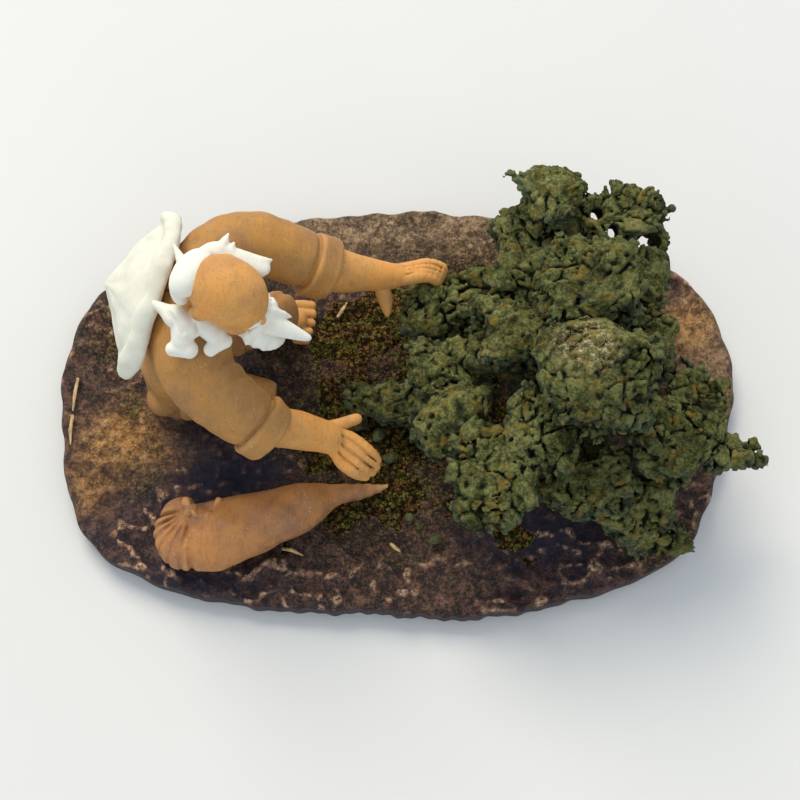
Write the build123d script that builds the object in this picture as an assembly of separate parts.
"""Hand-modelled clay scene: an old gardener kneels before a leafy tree of life on an oval base.

Every pinched or rolled piece of clay is its own solid, and each meets its neighbours face to face.
Units are millimetres. The origin is the centre of the base's flat underside, +Z is up, the tree
stands at +X, and the gardener kneels at -X and faces it.
"""

import math
import os

from build123d import *

os.makedirs("parts", exist_ok=True)

# Driving dimensions
BASE_THICK = 10.0
BASE_EDGE_ROUND = 3.0
MOSS_THICK = 1.2
GROUND = BASE_THICK + MOSS_THICK
CUFF_ROLL = 2.6
HAT_BRIM_HALF = (26.5, 19.0)
HAT_BRIM_THICK = 4.0
HAT_CROWN_HEIGHT = 11.0
HEAD_CENTRE = Vector(-48.0, 2.0, 95.0)
HEAD_YAW = -27.0
HEAD_PITCH = 24.0
TRUNK_FOOT = Vector(60, -2, BASE_THICK)
TRUNK_FORK = Vector(58, -5, 46)

parts = {}


def tube(*stations):
    """A loft through ellipses. Each station is (centre, direction, half width, half height)."""
    sketches = []
    for centre, direction, half_width, half_height in stations:
        way = Vector(*direction).normalized()
        level = Vector(0, 0, 1).cross(way)
        side = Vector(0, 1, 0) if level.length < 0.05 else level.normalized()
        plane = Plane(origin=Vector(*centre), x_dir=side, z_dir=way)
        sketches.append(plane * Ellipse(half_width, half_height))
    return loft(sketches)


def egg(centre, radii, yaw=0.0, pitch=0.0):
    """An egg shape whose first radius points along yaw, tipped nose-down by pitch."""
    stations = []
    for reach in (-0.95, -0.65, 0, 0.65, 0.95):
        girth = math.sqrt(1 - reach**2)
        stations.append(((reach * radii[0], 0, 0), (1, 0, 0), radii[1] * girth, radii[2] * girth))
    return Pos(*centre) * Rot(0, 0, yaw) * Rot(0, pitch, 0) * tube(*stations)


def ball(centre, radius):
    return Pos(*centre) * Sphere(radius)


def biggest(shape):
    return max(shape.solids(), key=lambda solid: solid.volume)


def fitted(piece, *neighbours):
    """The piece with its neighbours' clay taken out of it, so that they meet face to face."""
    for name in neighbours:
        piece = piece - parts[name]
    return biggest(piece)


def head_point(forward, left, up):
    """A point given from the centre of the head, along its own gaze, left ear and crown."""
    turn = Rot(0, 0, HEAD_YAW) * Rot(0, HEAD_PITCH, 0)
    return HEAD_CENTRE + (turn * Pos(forward, left, up)).position


def head_egg(forward, left, up, radii):
    return egg(head_point(forward, left, up), radii, HEAD_YAW, HEAD_PITCH)


# Base: an oval slab of rolled clay with a thin bed of moss-coloured crumbs in its middle
def base_slab():
    outline = [
        (-112, -6), (-109, -24), (-102, -43), (-80, -60), (-31, -69), (4, -71), (40, -70), (66, -63),
        (95, -47), (105, -26), (112, 14), (107, 34), (94, 50), (36, 69), (0, 71), (-44, 66),
        (-78, 55), (-101, 40), (-111, 18),
    ]
    slab = extrude(make_face(Spline(*outline, periodic=True)), BASE_THICK)
    return fillet(slab.edges().group_by(Axis.Z)[-1], BASE_EDGE_ROUND)


def moss_bed():
    outline = [(-30, 34), (-34, 2), (-30, -24), (-38, -54), (4, -60), (50, -52), (70, 10), (20, 44)]
    bed = extrude(make_face(Spline(*outline, periodic=True)), MOSS_THICK)
    return Pos(0, 0, BASE_THICK) * bed


parts["base_slab"] = base_slab()


# Gardener's clothes and legs
parts["smock_skirt"] = tube(
    ((-67, 7, BASE_THICK), (0, 0, 1), 12.5, 15),
    ((-68.5, 7, 22), (0, 0, 1), 13, 13.5),
    ((-70, 7, 36), (0, 0, 1), 13, 11),
)
parts["torso"] = tube(
    ((-70, 7, 36), (0, 0, 1), 13, 11),
    ((-64, 8, 54), (0, 0, 1), 15, 12.5),
    ((-60, 8.5, 68), (0, 0, 1), 17, 12),
    ((-57.5, 8, 78), (0, 0, 1), 10, 8.5),
    ((-56, 7, 83), (0, 0, 1), 6.5, 6),
)
left_knee = Vector(-39, 24, 30)
left_thigh = tube(
    ((-64, 14, 27), (0.9, 0.3, 0.1), 9, 9),
    ((-51, 20, 29.5), (0.9, 0.3, 0.1), 8.5, 8.5),
    (left_knee, (0.9, 0.3, 0.1), 6.5, 6.5),
)
left_shin = tube(
    (left_knee, (0, 0, -1), 6.5, 6.5),
    ((-40, 24.5, 22), (0, 0, -1), 5.5, 6),
    ((-42, 25, 15), (0, 0, -1), 4.5, 5),
)
parts["left_leg"] = fitted(left_thigh + left_shin + ball(left_knee, 6.8), "smock_skirt", "torso")
foot = tube(
    ((-47, 25, 14), (1, 0.12, 0), 5, 4),
    ((-38, 27, 14.2), (1, 0.12, 0), 7.4, 4.4),
    ((-30.5, 27.8, 12.8), (1, 0.12, 0), 7.8, 2.6),
)
parts["left_foot"] = fitted(foot, "left_leg", "base_slab", "smock_skirt")
right_shank = tube(
    ((-66, -1, 20), (1, 0, -0.1), 8, 8),
    ((-52, -0.5, 18.5), (1, 0, -0.1), 7.2, 7.5),
    ((-43.5, 0, 17.5), (1, 0, -0.1), 5, 5.5),
)
parts["right_leg"] = fitted(right_shank, "smock_skirt", "base_slab", "left_leg")
rear_foot = egg((-76, -0.8, 14.2), (6.4, 5.4, 4.4), yaw=20)
parts["right_foot"] = fitted(rear_foot, "smock_skirt", "base_slab", "right_leg")
parts["moss_bed"] = fitted(moss_bed(), "left_foot", "left_leg", "right_leg")


# Arms: a wide sleeve, a rolled cuff, a forearm with its hand, and a thumb pressed on
def cuff(centre, direction, half_width, half_length):
    """A rolled ring of clay round the sleeve's open end."""
    way = Vector(*direction).normalized()
    lip = half_width - CUFF_ROLL / 2
    start = Vector(*centre) - way * half_length
    end = Vector(*centre) + way * half_length
    return tube((start, way, lip, lip), (centre, way, half_width, half_width), (end, way, lip, lip))


parts["left_sleeve"] = fitted(
    tube(
        ((-61, 13, 70), (0.3, 0.95, 0), 9.5, 9.5),
        ((-54, 26, 71), (0.7, 0.7, -0.05), 9.8, 9.8),
        ((-41, 32, 65), (0.95, 0.1, -0.4), 9.5, 9.5),
        ((-27, 30, 55), (0.85, -0.12, -0.5), 8.8, 8.8),
    ),
    "torso",
)
left_forearm = tube(
    ((-29, 30, 56), (0.85, 0, -0.5), 6.5, 6.5),
    ((-20, 29.5, 50.5), (0.9, 0.08, -0.45), 6.8, 6.5),
    ((-2, 32, 41.5), (0.95, 0.1, -0.3), 3.8, 3.4),
    ((8, 34, 39.5), (0.95, 0, -0.25), 5, 3.2),
    ((14.5, 31.5, 35), (0.6, -0.4, -0.7), 4.4, 2.2),
)
parts["left_cuff"] = fitted(cuff((-24, 29.5, 53), (0.85, -0.12, -0.5), 10, 3.4), "left_sleeve")
parts["left_forearm"] = fitted(left_forearm, "left_sleeve", "left_cuff")
left_thumb = tube(
    ((-4.5, 29, 41), (0.1, -0.85, -0.5), 2.4, 2.2),
    ((-3.8, 25.5, 38.5), (0.1, -0.85, -0.5), 2.6, 2.2),
    ((-3, 21, 35), (0.1, -0.85, -0.5), 0.9, 0.9),
)
parts["left_thumb"] = fitted(left_thumb, "left_forearm")

parts["right_sleeve"] = fitted(
    tube(
        ((-62, 6, 69), (-0.1, -0.95, -0.2), 10.5, 10.5),
        ((-62, -6, 66), (0.3, -0.8, -0.5), 11.2, 11),
        ((-54.5, -14.5, 57.5), (0.7, -0.5, -0.5), 10.6, 10.4),
        ((-44, -20, 49.6), (0.75, -0.45, -0.48), 9.4, 9.4),
    ),
    "torso",
)
right_forearm = tube(
    ((-43.5, -21, 49.6), (0.85, 0.05, -0.45), 5.4, 5.4),
    ((-31, -21, 43.5), (0.9, 0.05, -0.42), 5.6, 5.4),
    ((-20, -21.5, 38), (0.9, -0.2, -0.4), 5.2, 4.2),
    ((-13, -24.5, 35), (0.8, -0.5, -0.4), 7, 3.4),
    ((-5.5, -28.5, 29.5), (0.7, -0.5, -0.5), 5, 2.4),
)
parts["right_cuff"] = fitted(cuff((-40.6, -22, 46.8), (0.75, -0.45, -0.48), 10.4, 3.4), "right_sleeve")
parts["right_forearm"] = fitted(right_forearm, "right_sleeve", "right_cuff")
right_thumb = tube(
    ((-21, -18, 38.5), (1, 0.25, -0.35), 2.6, 2.4),
    ((-16, -16, 37), (1, 0.3, -0.3), 2.2, 2),
    ((-11, -14, 35.5), (1, 0.3, -0.3), 1.3, 1.3),
)
parts["right_thumb"] = fitted(right_thumb, "right_forearm")


# Head, hair and beard, each a separate pinch of white or red clay
neck = tube(
    ((-58, 4.8, 83), (0.35, -0.1, 0.9), 7.4, 7.4),
    ((-56.4, 4.3, 87), (0.35, -0.1, 0.9), 7.4, 7.4),
    ((-53, 3.6, 92), (0.35, -0.1, 0.9), 6.8, 6.8),
)
parts["neck"] = fitted(neck, "torso", "left_sleeve", "right_sleeve")
skull = head_egg(0, 0, 1.5, (12.2, 9.6, 11.2)) + head_egg(3.4, 0, -4.5, (8.6, 7.2, 9))
nose = head_egg(12.8, 0, -2.6, (2.2, 1.6, 3))
parts["head"] = fitted(skull + nose, "neck", "torso", "left_sleeve", "right_sleeve")
body_clay = ["head", "neck", "torso", "left_sleeve", "right_sleeve"]
back_lock = egg((-58.2, 4.8, 99.5), (4.8, 7.2, 4.6), yaw=-8, pitch=-30)
parts["hair_back"] = fitted(back_lock, *body_clay)
left_lock = egg((-46.5, 14.8, 88), (10.5, 4.2, 4.4), yaw=12, pitch=24)
parts["hair_left"] = fitted(left_lock, *body_clay, "hair_back")
right_lock = egg((-58.5, -3.8, 84), (9.5, 6.4, 5.8), yaw=HEAD_YAW, pitch=24)
parts["hair_right"] = fitted(right_lock, *body_clay, "hair_back")
moustache = tube(
    ((-40, -1, 85), (0.85, -0.2, -0.5), 6.5, 3),
    ((-35, -2, 82), (0.85, -0.2, -0.5), 8, 2.8),
    ((-31, -3, 79.5), (0.85, -0.2, -0.5), 7, 2.4),
    ((-26.5, -4, 76.5), (0.85, -0.2, -0.5), 3, 1.2),
)
parts["moustache"] = fitted(moustache, "head")
beard = egg((-37, -2, 77.5), (7.5, 6.5, 5.5), yaw=HEAD_YAW, pitch=45)
parts["beard"] = fitted(beard, *body_clay, "moustache")
brow_left = head_egg(11.3, 3.6, 1.4, (1.4, 3, 1.1))
brow_right = head_egg(11.3, -3.6, 1.4, (1.4, 3, 1.1))
parts["eyebrows"] = Compound([biggest(brow - parts["head"]) for brow in (brow_left, brow_right)])


# Hat: a soft felt hat that hangs behind the shoulders, brim against the back
def hat():
    along_brim = Vector(0.30, 0.88, 0.36)
    to_crown = Vector(-0.93, 0.19, 0.31)
    back = Plane(origin=Vector(-71.4, 12.6, 66.9), x_dir=along_brim, z_dir=to_crown)
    disc = extrude(Ellipse(*HAT_BRIM_HALF), HAT_BRIM_THICK)
    disc = fillet(disc.edges(), HAT_BRIM_THICK * 0.3)
    dome = loft([
        Pos(0, 0, HAT_BRIM_THICK) * Ellipse(16, 12.5),
        Pos(0, 0, HAT_BRIM_THICK + HAT_CROWN_HEIGHT * 0.55) * Ellipse(11.5, 9),
        Pos(0, 0, HAT_BRIM_THICK + HAT_CROWN_HEIGHT) * Ellipse(4, 3.2),
    ])
    return back * disc, back * dome


brim, crown = hat()
parts["hat_brim"] = fitted(brim, "torso", "smock_skirt", "left_sleeve", "right_sleeve", "neck")
parts["hat_crown"] = fitted(crown, "hat_brim")


# Sack: a tapered cloth bag lying on the base, gathered and tied at its wide end
parts["sack_body"] = tube(
    ((-65, -48, 17.4), (1, 0.1, 0), 10.4, 6.1),
    ((-57, -47.3, 18.4), (1, 0.18, 0), 11.2, 7.2),
    ((-44, -43.6, 18.3), (1, 0.3, 0), 9.7, 7.1),
    ((-32, -39, 17.6), (1, 0.36, 0), 7.8, 6.3),
    ((-23, -34.9, 15.8), (1, 0.3, -0.1), 4.6, 4.5),
    ((-14, -32.6, 14.5), (1, 0.2, -0.12), 2.5, 2.8),
    ((-3.6, -30, 12.9), (1, 0.25, -0.12), 1, 1),
)
parts["sack_mouth"] = fitted(egg((-68, -46, 16), (9, 12, 5.6)), "sack_body", "base_slab")
parts["sack_tie"] = fitted(egg((-64.5, -38.5, 23), (3, 2.2, 1.8), yaw=50), "sack_body", "sack_mouth")
for bed_neighbour in ("sack_body", "sack_mouth"):
    parts["moss_bed"] = fitted(parts["moss_bed"], bed_neighbour)


# Tree of life: a trunk and limbs under pads of crumbly leaves
parts["trunk"] = tube(
    (TRUNK_FOOT, (0, 0, 1), 10, 10),
    (TRUNK_FOOT + Vector(-1, 0, 8), (0, 0, 1), 6.5, 7),
    (TRUNK_FORK - Vector(0, 0, 14), (0, 0, 1), 5.5, 5.5),
    (TRUNK_FORK + Vector(0, 0, 18), (0, 0, 1), 4.5, 4.5),
)
limb_tips = {
    "limb_left": (24, 2, 40),
    "limb_front_left": (30, -32, 50),
    "limb_front": (66, -38, 30),
    "limb_right": (92, -14, 46),
    "limb_back": (54, 40, 62),
    "limb_back_left": (26, 24, 31),
}


def limb(tip):
    """A tapered branch from inside the trunk to a tip inside its leaves."""
    foot_of_limb = TRUNK_FORK - Vector(0, 0, 14)
    way = Vector(*tip) - foot_of_limb
    middle = foot_of_limb + way * 0.5 + Vector(0, 0, 2)
    return tube((foot_of_limb, way, 4.5, 4.5), (middle, way, 3.8, 3.8), (tip, way, 2.4, 2.4))


for number, (limb_name, tip) in enumerate(limb_tips.items()):
    parts[limb_name] = fitted(limb(tip), "trunk", *list(limb_tips)[:number])

# Each pad of leaves: centre and half sizes, listed from the crown outwards
leaf_pads = {
    "leaves_crown": ((58, -17, 76), (16, 16, 11)),
    "leaves_upper": ((59, 16, 69), (15, 15, 10)),
    "leaves_core": ((57, -8, 55), (19, 18, 10)),
    "leaves_back_left": ((47, 47, 66), (12, 11, 9)),
    "leaves_back_right": ((73, 43, 62), (12, 12, 9)),
    "leaves_right_back": ((76, 26, 54), (9, 14, 9)),
    "leaves_right": ((77, 6, 50), (9, 13, 10)),
    "leaves_back_mid": ((42, 32, 52), (12, 14, 10)),
    "leaves_left_back": ((17, 27, 31), (14, 12, 8)),
    "leaves_centre_left": ((38, 8, 48), (14, 15, 11)),
    "leaves_left": ((17, 1, 34), (15, 13, 10)),
    "leaves_left_tip": ((0, -1, 20), (14, 7, 7.5)),
    "leaves_left_front": ((18, -19, 38), (10, 13, 9)),
    "leaves_front_left": ((28, -36, 46), (12, 15, 8)),
    "leaves_front_mid": ((43, -22, 46), (12, 13, 10)),
    "leaves_front": ((59, -37, 37), (13, 12, 10)),
    "leaves_front_right": ((74, -41, 27), (15, 10, 9)),
    "leaves_right_front": ((82, -24, 46), (11, 13, 11)),
    "leaves_right_outer": ((92, -15, 45), (9, 18, 9)),
    "leaves_twig": ((103, -29, 42), (7.5, 4.5, 4)),
    "leaves_fringe": ((83, -45, 17), (9.5, 8.5, 6.5)),
}
PAD_SECTIONS = ((-0.95, 0.45), (-0.45, 0.92), (0.3, 0.98), (0.95, 0.5))
PAD_POINTS = 14


def leaf_pad(centre, half):
    """A cushion with a lobed edge, lofted through four level outlines."""
    turn = centre[0] + centre[1]
    sections = []
    for height, share in PAD_SECTIONS:
        outline = []
        for step in range(PAD_POINTS):
            angle = 2 * math.pi * step / PAD_POINTS
            lobe = share * (1 + 0.07 * math.sin(3 * angle + turn) + 0.05 * math.sin(5 * angle - turn))
            outline.append((half[0] * lobe * math.cos(angle), half[1] * lobe * math.sin(angle)))
        face = make_face(Spline(*outline, periodic=True))
        sections.append(Pos(0, 0, height * half[2]) * face)
    return Pos(*centre) * loft(sections)


def reach_towards(half, way):
    """How far a pad reaches from its centre in one direction."""
    return 1 / math.sqrt((way.X / half[0]) ** 2 + (way.Y / half[1]) ** 2 + (way.Z / half[2]) ** 2)


def pressed_against(pad, own, other):
    """The pad, flattened where it was pressed against another pad."""
    gap = Vector(*other[0]) - Vector(*own[0])
    way = gap.normalized()
    own_reach = reach_towards(own[1], way)
    other_reach = reach_towards(other[1], way)
    meeting = Vector(*own[0]) + gap * (own_reach / (own_reach + other_reach))
    kept = split(pad, bisect_by=Plane(origin=meeting, z_dir=way), keep=Keep.BOTTOM)
    return biggest(kept)


def boxes_meet(own, other):
    reaches = [1.15 * (own[1][axis] + other[1][axis]) for axis in range(3)]
    return all(abs(own[0][axis] - other[0][axis]) < reaches[axis] for axis in range(3))


wood = ["base_slab", "moss_bed", "trunk", *limb_tips, "left_forearm"]
for pad_name, own in leaf_pads.items():
    pad = leaf_pad(*own)
    for other_name, other in leaf_pads.items():
        if other_name != pad_name and boxes_meet(own, other):
            pad = pressed_against(pad, own, other)
    parts[pad_name] = fitted(pad, *wood)


# Loose crumbs of clay and bits of straw stuck on the ground
def on_ground(centre, radius):
    return ball((*centre, GROUND + radius * 0.4), radius) - parts["moss_bed"] - parts["base_slab"]


crumb_places = {(-12, -8): 2.6, (-6, -12): 2.2, (-3, -20): 1.6, (12, -47): 1.8, (4, -40): 1.3}
parts["crumbs"] = Compound([biggest(on_ground(place, r)) for place, r in crumb_places.items()])


def straw(start, end, floor):
    """A short square stalk lying on the ground."""
    run = Vector(*end, 0) - Vector(*start, 0)
    plane = Plane(origin=Vector(*start, floor + 0.5), z_dir=run)
    return extrude(plane * Rectangle(0.9, 0.9), run.length)


parts["straws"] = Compound([
    straw((-20, 30), (-17, 35), GROUND),
    straw((-2, -49), (1, -51.5), GROUND),
    straw((-106.2, 8), (-107.2, -3), BASE_THICK),
    straw((-107.2, -5), (-107, -15), BASE_THICK),
    straw((-36.5, -50.4), (-30, -52.6), BASE_THICK),
])

# The moss bed is cut last, so that the tree's foot stands in it
parts["moss_bed"] = fitted(parts["moss_bed"], "trunk")

for part_name, solid in parts.items():
    solid.label = part_name
    export_step(solid, f"parts/{part_name}.step")
